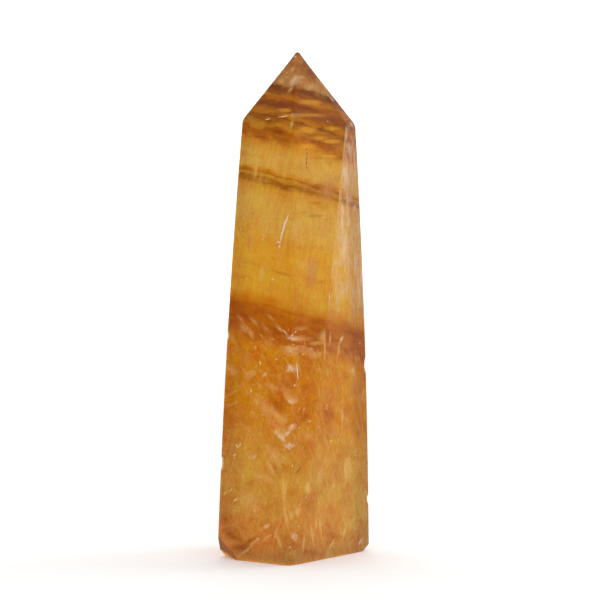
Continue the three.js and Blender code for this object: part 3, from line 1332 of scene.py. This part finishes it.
@dataclass
class CleavageMarks(MarkPlaces):
    """Cleavage faces that reach the polish, joined in one piece: thin lens-shaped plates in the stone's skin.

    A plate has rows of corners along it. Its middle stands proud of the skin, its rim is sunk and its back deep.
    """

    finish: CleavageFace = field(kw_only=True)
    rows: int = 7
    proud: float = 0.012
    sunk: float = 0.004
    deep: float = 0.08
    ragged: float = 0.3

    def build(self) -> bpy.types.Object:
        """Make the plates' mesh and dress it."""
        chance = np.random.default_rng(self.seed)
        points, on_plate, fullness = self._plates(*self.spots(chance), chance)
        piece = mesh_piece(self.name, self._listed(points), self._faces(points), self.finish.material())
        place = piece.data.attributes.new("place_on_plate", "FLOAT_VECTOR", "POINT")
        place.data.foreach_set("vector", self._listed(on_plate).astype(np.float32).ravel())
        full = piece.data.attributes.new("fullness", "FLOAT", "POINT")
        full.data.foreach_set("value", self._listed(fullness).astype(np.float32).ravel())
        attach(piece, BODY)
        return piece

    def _plates(self, places: np.ndarray, flats: np.ndarray, sizes: np.ndarray,
                chance: np.random.Generator) -> tuple[np.ndarray, np.ndarray, np.ndarray]:
        """Make every plate: a four-cornered profile carried along its length, with a point at each end.

        The half width is a sine over the length, moved towards the widest place, times a ragged share for each
        side. The profile's left and right corners lie just under the skin, one lies just over it and one deeper.

        Args:
            places: the plates' middles.
            flats: the flats' numbers.
            sizes: a row each of length, width, turn, widest, bend and crisp.
            chance: the source of chance.

        Returns:
            By plate, row and corner: points in millimetres in the frame, places along and across the plate,
            and how full the crack is, from 0 to 1.
        """
        length, width, turn, widest, bend, _ = (column[:, None] for column in sizes.T)
        along = np.linspace(0, 1, self.rows + 1)[None]
        swell = np.sin(math.pi * along ** (np.log(0.5) / np.log(widest)))
        rough = 1 + self.ragged * chance.uniform(-1, 1, (2, len(places), self.rows + 1))
        left, right = -width / 2 * swell * rough[0], width / 2 * swell * rough[1]
        bow = bend * length * (1 - (2 * along - 1) ** 2)
        beside = np.stack([left, (left + right) / 2, right, (left + right) / 2], axis=2) + bow[..., None]
        onward = np.broadcast_to((along - 0.5) * length, left.shape)[..., None]
        angle = np.radians(turn)[..., None]
        to_right = onward * np.cos(angle) - beside * np.sin(angle)
        to_up = onward * np.sin(angle) + beside * np.cos(angle)
        way_right, way_up, _ = self.stone.directions(flats, places[:, 2])
        points = (places[:, None, None] + to_right[..., None] * way_right[:, None, None]
                  + to_up[..., None] * way_up[:, None, None])
        lift = np.array([-self.sunk, self.proud, -self.sunk, -self.deep]) + self.sunk
        outwards = lift * np.minimum(1, 2 * swell)[..., None] - self.sunk
        points = self.stone.on_skin(points.reshape(-1, 3), outwards.ravel()).reshape(points.shape)
        fullness = swell[..., None] * np.array([0, 1, 0, 0])
        apart = np.broadcast_to(np.arange(len(places))[:, None, None], beside.shape) * PATTERN_GAP
        on_plate = np.stack([np.broadcast_to(onward, beside.shape), beside, apart], axis=-1)
        return points, on_plate, fullness[..., None]

    def _listed(self, values: np.ndarray) -> np.ndarray:
        """List values by plate: those of the inner rows' corners, then one for each pointed end.

        Args:
            values: values by plate, row, corner and axis.

        Returns:
            One row a vertex.
        """
        inner = values[:, 1:-1].reshape(len(values), -1, values.shape[-1])
        return np.concatenate([inner, values[:, [0, -1], 0]], axis=1).reshape(-1, values.shape[-1])

    def _faces(self, points: np.ndarray) -> np.ndarray:
        """Join the plates' vertices: four sides along each plate, and a fan round each pointed end.

        Args:
            points: points by plate, row, corner and axis.

        Returns:
            Faces.
        """
        ring = np.arange((self.rows - 1) * 4).reshape(-1, 4)
        size = ring.size + 2
        beside = np.roll(ring, -1, axis=1)
        sides = np.stack([ring[:-1], ring[1:], beside[1:], beside[:-1]], axis=-1).reshape(-1, 4)
        first, last = np.full(4, size - 2), np.full(4, size - 1)
        fan = np.stack([first, ring[0], beside[0], beside[0]], axis=1)
        fan_end = np.stack([last, beside[-1], ring[-1], ring[-1]], axis=1)
        one = np.concatenate([sides, fan, fan_end])
        return (one[None] + (np.arange(len(points)) * size)[:, None, None]).reshape(-1, 4)


@dataclass
class Studio:
    """A pale floor under soft white light from all round, one softbox at the right, and the camera."""

    floor_finish: PaleFloor = field(default_factory=PaleFloor)
    floor_radius: float = 4000.0
    camera_distance: float = 300.0
    camera_height: float = 45.6
    camera_across: float = 0.97
    pixels_per_mm: float = 5.58
    sensor: float = 36.0
    backdrop: float = 1.36
    surround: float = 0.77
    softbox_size: tuple[float, float] = (220.0, 260.0)
    softbox_radiance: float = 2.0
    softbox_facing: float = 106.0
    softbox_distance: float = 330.0
    softbox_height: float = 190.0

    def build(self) -> None:
        """Make the floor, the light and the camera."""
        self._floor()
        self._light()
        self._camera()

    def _floor(self) -> None:
        """Make the floor: a disc of rings that widen outwards as powers."""
        around = np.linspace(0, 2 * math.pi, 97)[:-1]
        radii = np.geomspace(20, self.floor_radius, 40)
        x = radii[None] * np.cos(around)[:, None]
        y = radii[None] * np.sin(around)[:, None]
        points = np.stack([x, y, x * 0], axis=-1).reshape(-1, 3)
        index = np.arange(len(points)).reshape(len(around), len(radii))
        beside = np.roll(index, -1, axis=0)
        rings = np.stack([index[:, :-1], index[:, 1:], beside[:, 1:], beside[:, :-1]], axis=-1).reshape(-1, 4)
        middle = np.full(len(around), len(points))
        fan = np.stack([middle, index[:, 0], beside[:, 0], beside[:, 0]], axis=-1)
        floor = mesh_piece("floor", np.concatenate([points, [[0, 0, 0]]]), np.concatenate([rings, fan]),
                           self.floor_finish.material())

    def _light(self) -> None:
        """Set the soft white surroundings, brighter behind the stone than in front, and the softbox."""
        world = bpy.data.worlds.new("studio_surroundings")
        bpy.context.scene.world = world
        world.use_nodes = True
        tree = world.node_tree
        tree.nodes.clear()
        direction = add_node(tree, "ShaderNodeTexCoord")
        parts = add_node(tree, "ShaderNodeSeparateXYZ", {0: direction.outputs["Generated"]})
        level = add_node(tree, "ShaderNodeMapRange", {
            "Value": parts.outputs["Y"], "From Min": 0.1, "From Max": 0.5,
            "To Min": self.surround, "To Max": self.backdrop}, interpolation_type="SMOOTHSTEP")
        background = add_node(tree, "ShaderNodeBackground", {
            "Color": (1, 1, 1, 1), "Strength": level.outputs["Result"]})
        add_node(tree, "ShaderNodeOutputWorld", {"Surface": background.outputs["Background"]})
        self._softbox()

    def _softbox(self) -> None:
        """Hang the softbox at the right and a little behind, where the narrow right flat mirrors it."""
        data = bpy.data.lights.new("softbox", "AREA")
        data.shape = "RECTANGLE"
        data.size, data.size_y = (side * MM for side in self.softbox_size)
        data.energy = math.pi * self.softbox_radiance * data.size * data.size_y
        softbox = bpy.data.objects.new("softbox", data)
        angle = math.radians(self.softbox_facing)
        away = np.array([math.sin(angle), -math.cos(angle)]) * self.softbox_distance
        softbox.location = np.array([*away, self.softbox_height]) * MM
        softbox.rotation_euler = (math.pi / 2, 0, angle)
        softbox.visible_camera = False
        bpy.context.scene.collection.objects.link(softbox)

    def _camera(self) -> None:
        """Make the camera: level, at half the stone's height."""
        data = bpy.data.cameras.new("camera")
        data.sensor_width = self.sensor
        data.lens = self.pixels_per_mm * self.sensor * self.camera_distance / PHOTO_SIDE
        data.clip_start = 0.01
        data.clip_end = 50.0
        camera = bpy.data.objects.new("camera", data)
        camera.location = np.array([self.camera_across, -self.camera_distance, self.camera_height]) * MM
        camera.rotation_euler = (math.pi / 2, 0, 0)
        bpy.context.scene.collection.objects.link(camera)
        bpy.context.scene.camera = camera


# The finishes of the cracks that reach the polish: the pale and golden ones are also painted glints
FRESH = CleavageFace("fresh_cleavage_and_glint", "#f6ead8", "#e8c8a0", 0.85, (0.02, 0.5), 0.9)
BRIGHT_SLIVER_AND_GLINT = CleavageFace("golden_cleavage_and_glint", "#fbdc98", "#e8b850", 0.65, (0.02, 0.6), 0.9)
SMOKY = CleavageFace("smoky_cleavage", "#a06a38", "#8a5424", 0.7, (0.02, 0.5), 0.9)

# Cracks, slivers and flecks on the front that reach the polish, placed one by one
CRACKS_AND_GLINTS = (
    Mark(-1.6, 58.1, 6.6, 0.7, 72, bend=0.05),
    Mark(-2.7, 55.7, 1.1, 0.4, -10),
    Mark(-2.6, 55.0, 0.9, 0.35, 52),
    Mark(-1.9, 77.75, 3.4, 0.24, 5),
    Mark(-4.6, 77.5, 1.6, 0.22, 8),
    Mark(5.9, 77.3, 0.5, 0.3, 0),
    Mark(0.1, 89.0, 0.6, 0.3, -10, bend=0.2),
    Mark(-1.6, 40.0, 1.8, 0.3, -46),
    Mark(-0.4, 39.5, 1.2, 0.3, 57),
    Mark(0.2, 40.1, 0.8, 0.26, 36),
    Mark(0.5, 33.2, 4.0, 0.34, -85),
    Mark(-6.0, 34.6, 0.9, 0.26, -71),
    Mark(-7.6, 29.7, 0.9, 0.3, 75),
    Mark(-3.8, 49.2, 0.8, 0.4, 52),
    Mark(-10.5, 18.4, 0.9, 0.28, 31),
    Mark(-10.1, 19.9, 0.9, 0.24, -36),
    Mark(-9.6, 20.1, 1.2, 0.24, 54),
    Mark(6.15, 46.2, 1.5, 0.34, -82),
    Mark(-0.4, 23.9, 1.3, 0.3, 62),
    Mark(-1.9, 21.7, 1.8, 0.26, -46),
    Mark(-1.0, 22.7, 1.3, 0.22, 50),
    Mark(-0.8, 28.1, 1.2, 0.26, -50),
    Mark(-0.5, 33.7, 1.4, 0.26, -62),
    Mark(-0.9, 33.9, 1.0, 0.24, 40),
    Mark(-1.0, 20.3, 1.4, 0.22, -60),
)
SLIVERS_AND_GLINTS = (
    Mark(-7.9, 18.1, 2.0, 0.28, 46),
    Mark(-11.2, 12.2, 1.2, 0.4, 50),
    Mark(-12.2, 11.5, 1.6, 0.3, 42),
    Mark(-10.3, 10.6, 1.7, 0.5, 37),
    Mark(5.8, 27.1, 1.0, 0.36, -44),
    Mark(6.4, 20.7, 1.6, 0.36, 16),
    Mark(7.8, 20.8, 1.0, 0.34, 49),
    Mark(-0.4, 17.1, 1.3, 0.4, -79),
    Mark(7.9, 5.2, 1.3, 0.4, 42),
    Mark(-5.8, 39.3, 1.8, 0.34, -47),
    Mark(-2.6, 40.5, 2.2, 0.2, -35),
)
FLECKS = (
    Mark(0.7, 16.2, 2.4, 0.3, 38),
    Mark(2.1, 72.0, 0.7, 0.36, 80),
    Mark(2.2, 71.2, 1.1, 0.4, 92),
    Mark(2.15, 70.3, 0.9, 0.38, 86),
    Mark(2.1, 69.6, 1.1, 0.42, 95),
    Mark(2.2, 68.8, 1.0, 0.36, 88),
)
# Flakes, smears, feathers, wisps and bands on the front that lie under the polish, placed one by one
FRESH_FLAKES = (
    Mark(-0.6, 38.9, 3.0, 1.3, -43, widest=0.7, crisp=-1),
    Mark(-0.6, 33.9, 2.0, 1.0, -69),
    Mark(-1.0, 33.5, 1.5, 0.8, 30),
    Mark(-5.2, 32.6, 1.4, 0.7, 41),
    Mark(8.3, 38.6, 1.8, 0.8, 44),
    Mark(-0.2, 84.4, 2.8, 1.7, 84),
    Mark(-0.6, 28.0, 1.4, 1.6, -45, crisp=-1),
    Mark(-2.7, 22.1, 3.4, 1.3, -40, widest=0.7, crisp=-1),
    Mark(-0.5, 23.7, 1.9, 1.1, 46),
    Mark(-1.3, 22.6, 1.8, 0.8, 43),
    Mark(-1.4, 20.4, 1.9, 0.6, -34),
    Mark(-7.1, 18.2, 1.5, 0.6, 34),
    Mark(-0.1, 5.0, 2.4, 1.1, -45),
    Mark(-4.9, 6.4, 1.7, 0.8, 30),
    Mark(11.9, 2.0, 2.2, 0.8, 43),
)
FLAKE_WINGS = (
    Mark(-0.7, 37.4, 3.8, 3.2, -6, crisp=1),
    Mark(-0.5, 37.4, 5.2, 3.2, 4, crisp=1),
    Mark(3.1, 36.6, 3.7, 2.4, -28, crisp=1),
)
# Whitish streaks on the right flat: smears, and painted reflection of the softbox that the flat mirrors
WHITE_SMEARS_AND_REFLECTION = (
    Mark(12.2, 49.6, 8.0, 1.2, 92),
    Mark(10.9, 52.3, 5.0, 1.0, 85),
    Mark(8.9, 54.9, 7.0, 1.8, 76),
    Mark(8.5, 59.5, 5.0, 1.1, -87),
    Mark(9.7, 59.5, 2.4, 0.9, 78),
    Mark(11.6, 47.4, 5.0, 0.9, -78),
    Mark(8.6, 61.5, 4.0, 1.4, -85),
    Mark(9.8, 72.8, 2.6, 1.4, -81),
    Mark(9.2, 67.7, 5.4, 1.9, -65),
    Mark(10.3, 77.2, 2.0, 0.9, -45),
)
ROSY_SHEETS = (
    Mark(3.8, 52.8, 17.0, 1.9, 69),
    Mark(-7.9, 55.9, 4.0, 1.1, 86),
    Mark(6.2, 66.0, 9.0, 1.3, 74),
)
PALE_FLAKES = (
    Mark(1.0, 38.8, 1.7, 1.2, -10),
    Mark(1.4, 40.6, 1.6, 0.8, -6),
    Mark(3.4, 38.3, 3.6, 0.7, -26),
    Mark(-7.7, 39.8, 3.0, 1.1, -49),
    Mark(7.8, 36.6, 3.6, 0.7, 78),
    Mark(6.3, 38.8, 3.2, 0.6, 83),
    Mark(8.5, 24.5, 5.4, 0.7, 90),
    Mark(2.9, 83.4, 2.2, 1.4, 5),
    Mark(5.0, 82.8, 2.4, 1.2, -10),
    Mark(6.7, 81.6, 1.4, 1.0, -30),
    Mark(-2.4, 84.5, 1.8, 1.1, -13),
    Mark(-0.7, 82.8, 1.7, 1.0, 60),
    Mark(1.6, 85.0, 1.6, 0.9, -30),
    Mark(-0.4, 86.6, 1.2, 0.8, 70),
    Mark(-0.4, 77.9, 1.3, 0.9, 80),
    Mark(-0.5, 76.3, 1.7, 0.7, 85),
    Mark(-1.2, 28.4, 2.9, 2.8, -46, widest=0.6, crisp=-1),
    Mark(-3.0, 25.9, 6.0, 2.4, -28, widest=0.65, crisp=1),
    Mark(-3.9, 16.6, 4.2, 1.9, -53, crisp=1),
    Mark(6.9, 12.8, 1.9, 1.0, 34),
)
GOLDEN_FEATHERS = (
    Mark(-1.8, 12.6, 6.0, 1.4, 88),
    Mark(-1.3, 8.7, 6.4, 1.2, -75, bend=-0.04),
    Mark(0.5, 8.9, 4.4, 1.2, -72, bend=0.05),
    Mark(-0.6, 8.4, 3.6, 0.7, -78),
    Mark(2.4, 13.2, 4.0, 1.4, -80),
    Mark(-7.2, 3.4, 4.0, 0.7, 36),
    Mark(-8.4, 1.9, 6.0, 0.7, 34),
    Mark(-4.7, 4.5, 4.0, 0.7, 33),
    Mark(-3.2, 5.4, 4.0, 0.7, 74),
    Mark(3.8, 6.6, 3.4, 0.7, -82),
    Mark(-0.1, 4.8, 3.2, 0.8, -45),
    Mark(10.5, 32.8, 2.8, 0.9, -61),
    Mark(3.1, 4.8, 6.4, 0.8, -74),
    Mark(4.6, 5.7, 6.0, 0.7, -76),
    Mark(8.9, 4.2, 3.8, 0.8, 66),
    Mark(6.6, 2.5, 3.8, 0.8, 48),
    Mark(-2.6, 4.0, 4.6, 0.8, -66),
    Mark(1.6, 3.4, 4.4, 0.8, 80),
    Mark(5.3, 38.4, 9.0, 0.6, 89),
)
DEEP_WISPS = (
    Mark(-1.7, 29.9, 5.4, 2.4, -43, widest=0.65),
    Mark(-4.1, 30.6, 5.0, 2.0, -19),
    Mark(-7.7, 32.5, 3.6, 2.0, 28),
    Mark(-9.0, 40.7, 3.0, 2.0, -49),
    Mark(-10.8, 33.1, 3.6, 2.4, -37),
    Mark(-5.0, 27.0, 10.0, 3.6, -33, widest=0.6),
    Mark(-2.9, 23.4, 8.5, 3.2, -36, widest=0.65),
    Mark(-3.6, 18.6, 6.5, 3.4, -48),
    Mark(-5.1, 14.8, 6.0, 2.2, -20),
    Mark(-7.5, 10.5, 9.0, 4.0, -30),
    Mark(9.5, 15.5, 7.0, 3.6, 80),
    Mark(4.5, 15.0, 5.0, 2.4, 70),
    Mark(2.4, 22.0, 4.6, 1.8, -35),
    Mark(-2.6, 40.7, 3.6, 0.7, -35),
    Mark(-7.1, 41.9, 4.0, 0.8, -36),
    Mark(-5.2, 40.9, 3.6, 0.7, -38),
    Mark(-4.2, 42.6, 3.6, 0.7, -36),
    Mark(-9.6, 42.4, 3.0, 0.8, -36),
    Mark(-5.0, 58.0, 6.0, 0.9, 75),
    Mark(-0.2, 57.6, 6.0, 1.0, 79),
    Mark(1.1, 51.6, 3.6, 2.0, 72),
    Mark(0.5, 46.9, 5.8, 1.8, 79),
    Mark(3.6, 46.9, 4.8, 1.5, 70),
    Mark(-5.6, 50.4, 5.0, 1.5, 86),
    Mark(-4.3, 61.5, 4.0, 0.8, 73),
    Mark(0.4, 61.1, 3.6, 0.8, 68),
    Mark(-6.8, 68.8, 4.5, 1.0, 86),
    Mark(-3.6, 69.6, 4.0, 1.2, 86),
    Mark(3.9, 34.5, 6.0, 0.7, 74),
    Mark(3.4, 28.1, 7.5, 0.7, 86),
    Mark(3.1, 22.2, 6.0, 0.7, 86),
)
SMOKY_BANDS = (
    Mark(-2.6, 83.1, 7.0, 2.0, -4),
    Mark(-5.0, 80.8, 6.0, 1.4, 4),
    Mark(-2.3, 79.9, 8.0, 1.6, -14),
    Mark(-4.0, 78.3, 7.0, 1.3, -4),
    Mark(-2.8, 75.0, 10.0, 1.8, -20),
    Mark(-2.2, 73.5, 7.0, 2.4, -32),
    Mark(-6.4, 75.0, 7.0, 2.0, -26),
    Mark(2.3, 82.2, 8.0, 1.8, -4),
    Mark(5.9, 81.5, 7.0, 1.6, -16),
    Mark(2.9, 79.4, 8.0, 1.2, 0),
    Mark(6.5, 79.2, 9.0, 1.3, -4),
    Mark(6.7, 77.6, 10.0, 1.8, -10),
    Mark(4.3, 75.7, 6.0, 1.0, -9),
    Mark(6.8, 75.0, 7.0, 1.6, -15),
    Mark(1.9, 74.1, 6.0, 1.5, -3),
    Mark(5.5, 73.1, 10.0, 2.0, -11),
    Mark(4.9, 70.4, 5.4, 0.8, -17),
    Mark(3.4, 65.7, 4.5, 2.0, -17),
    Mark(-1.6, 65.1, 5.0, 2.0, -17),
    Mark(3.5, 60.4, 8.0, 0.8, -12),
    Mark(3.4, 62.8, 7.0, 0.7, -16),
    Mark(-2.0, 50.2, 7.0, 0.7, -14),
    Mark(4.2, 48.9, 7.0, 0.7, -12),
    Mark(3.9, 37.2, 2.8, 1.6, -35),
    Mark(-10.8, 4.2, 7.0, 1.6, -20),
    Mark(-9.4, 2.3, 6.4, 1.6, 12),
    Mark(-7.4, 3.9, 5.4, 1.2, 26),
    Mark(2.0, 86.2, 6.4, 5.0, -50),
    Mark(3.5, 37.5, 3.6, 1.7, -21),
)
GOLDEN_BANDS = (
    Mark(2.7, 80.6, 6.4, 1.4, 3),
    Mark(3.1, 78.2, 4.6, 1.1, 4),
    Mark(1.9, 75.5, 5.2, 1.4, -5),
    Mark(7.5, 75.9, 3.4, 1.2, -11),
    Mark(5.9, 73.9, 7.2, 1.0, -10),
    Mark(1.5, 72.6, 4.0, 1.4, -5),
    Mark(5.8, 71.3, 3.8, 0.8, -12),
    Mark(-1.8, 78.9, 4.4, 0.9, -9),
)
SMOKY_CLOUDS = (
    Mark(-10.6, 4.4, 8.0, 4.4, -20),
    Mark(-9.0, 2.4, 8.0, 4.0, 10),
    Mark(-12.2, 6.8, 4.4, 2.4, -36),
    Mark(7.2, 3.7, 9.0, 1.8, -15),
    Mark(2.9, 1.8, 9.0, 2.0, -9),
    Mark(9.0, 36.6, 4.4, 2.0, -53),
    Mark(-3.1, 26.8, 7.0, 4.6, -25, crisp=-1),
    Mark(-1.5, 31.0, 5.0, 3.0, -8),
    Mark(2.0, 25.3, 5.0, 2.4, -10),
    Mark(6.1, 25.5, 6.5, 2.4, -20),
    Mark(2.0, 31.0, 4.0, 4.6, 1, crisp=1),
    Mark(-7.6, 13.9, 3.6, 2.6, 3),
    Mark(-3.3, 16.3, 4.2, 1.5, -64),
    Mark(2.8, 86.0, 7.0, 4.6, -50),
    Mark(3.4, 65.7, 4.0, 1.8, -17),
)


def set_picture() -> None:
    """Show colours as they are, and let light pass through the stone often enough."""
    scene = bpy.context.scene
    scene.view_settings.view_transform = "Standard"
    scene.cycles.max_bounces = 20
    scene.cycles.transmission_bounces = 20
    scene.cycles.transparent_max_bounces = 24


def main() -> None:
    """Build the stone and its studio, and report each piece."""
    logging.basicConfig(level=logging.INFO, format="%(name)s: %(message)s")
    set_picture()
    point = PolishedPoint()
    every_flat = tuple(range(6))
    behind = (3, 4, 5)
    fields = (
        SoftMarks("smoky_clouds", point, SMOKY_CLOUDS, (
            Swarm(behind, 2.0, 42.0, 22, (4.0, 10.0), (2.0, 4.0), Cleavage.FIRST, 12.0),
        ), seed=6),
        SoftMarks("smoky_bands", point, SMOKY_BANDS, (
            Swarm(behind, 70.0, 83.0, 36, (5.0, 11.0), (1.0, 2.2), swing=5.0, layered=True),
        ), seed=12),
        SoftMarks("golden_bands", point, GOLDEN_BANDS, (
            Swarm(behind, 68.0, 83.0, 16, (3.0, 7.0), (0.8, 1.5), swing=5.0, layered=True),
        ), seed=13),
        SoftMarks("deep_wisps", point, DEEP_WISPS, (
            Swarm(behind, 3.0, 38.0, 26, (4.0, 10.0), (1.8, 3.8), Cleavage.FIRST, 12.0),
            Swarm(behind, 3.0, 38.0, 14, (3.5, 8.0), (1.6, 3.2), Cleavage.SECOND, 12.0),
        ), seed=4),
        SoftMarks("golden_feathers", point, GOLDEN_FEATHERS, (
            Swarm(behind, 1.0, 13.0, 16, (2.5, 8.0), (0.6, 1.2)),
        ), seed=8),
        SoftMarks("rosy_sheets", point, ROSY_SHEETS, (
            Swarm(behind, 47.0, 66.0, 5, (7.0, 14.0), (1.2, 2.0), Cleavage.THIRD, 10.0),
        ), seed=14),
        SoftMarks("flake_wings", point, FLAKE_WINGS, (
            Swarm(behind, 10.0, 40.0, 3, (2.4, 4.0), (1.2, 1.9), Cleavage.FIRST, 12.0),
        ), seed=15),
        SoftMarks("white_smears_and_reflection", point, WHITE_SMEARS_AND_REFLECTION, (
            Swarm((3,), 8.0, 38.0, 4, (3.0, 7.0), (0.7, 1.3)),
            Swarm((4,), 54.0, 74.0, 4, (3.0, 7.0), (0.7, 1.3)),
        ), seed=16),
        SoftMarks("pale_flakes", point, PALE_FLAKES, (
            Swarm(behind, 2.0, 41.0, 9, (2.0, 7.0), (0.7, 1.6), Cleavage.FIRST, 12.0),
        ), seed=5),
        SoftMarks("fresh_flakes", point, FRESH_FLAKES, (
            Swarm(behind, 3.0, 41.0, 5, (1.0, 4.0), (0.5, 1.0), Cleavage.FIRST, 25.0),
        ), seed=2),
    )
    stone = point.build(fields)
    log.info("%s: %d faces", stone.name, len(stone.data.polygons))
    groups = (
        # Pale cracks and tiny bright specks: partly real cracks, partly painted glints
        CleavageMarks("fresh_cracks_and_glints", point, CRACKS_AND_GLINTS, (
            Swarm(behind, 20.0, 62.0, 14, (1.0, 5.0), (0.26, 0.45), Cleavage.THIRD, 20.0),
            Swarm(every_flat, 2.0, 42.0, 90, (0.25, 0.8), (0.18, 0.3), Cleavage.THIRD, 30.0),
            Swarm((0,), 55.0, 62.0, 14, (0.25, 0.5), (0.2, 0.3)),
        ), seed=3, finish=FRESH),
        # Golden slivers and sparkle: partly real slivers, partly painted glints
        CleavageMarks("golden_slivers_and_glints", point, SLIVERS_AND_GLINTS, (
            Swarm(every_flat, 3.0, 40.0, 110, (0.3, 1.2), (0.18, 0.32), Cleavage.THIRD, 30.0),
        ), seed=7, finish=BRIGHT_SLIVER_AND_GLINT),
        CleavageMarks("smoky_flecks", point, FLECKS, (
            Swarm(every_flat, 44.0, 70.0, 14, (0.2, 0.6), (0.18, 0.26)),
        ), seed=9, finish=SMOKY),
    )
    for group in groups:
        piece = group.build()
        log.info("%s: %d faces", piece.name, len(piece.data.polygons))
    Studio().build()
    log.info("studio: floor, light and camera")


if __name__ == "__main__":
    main()
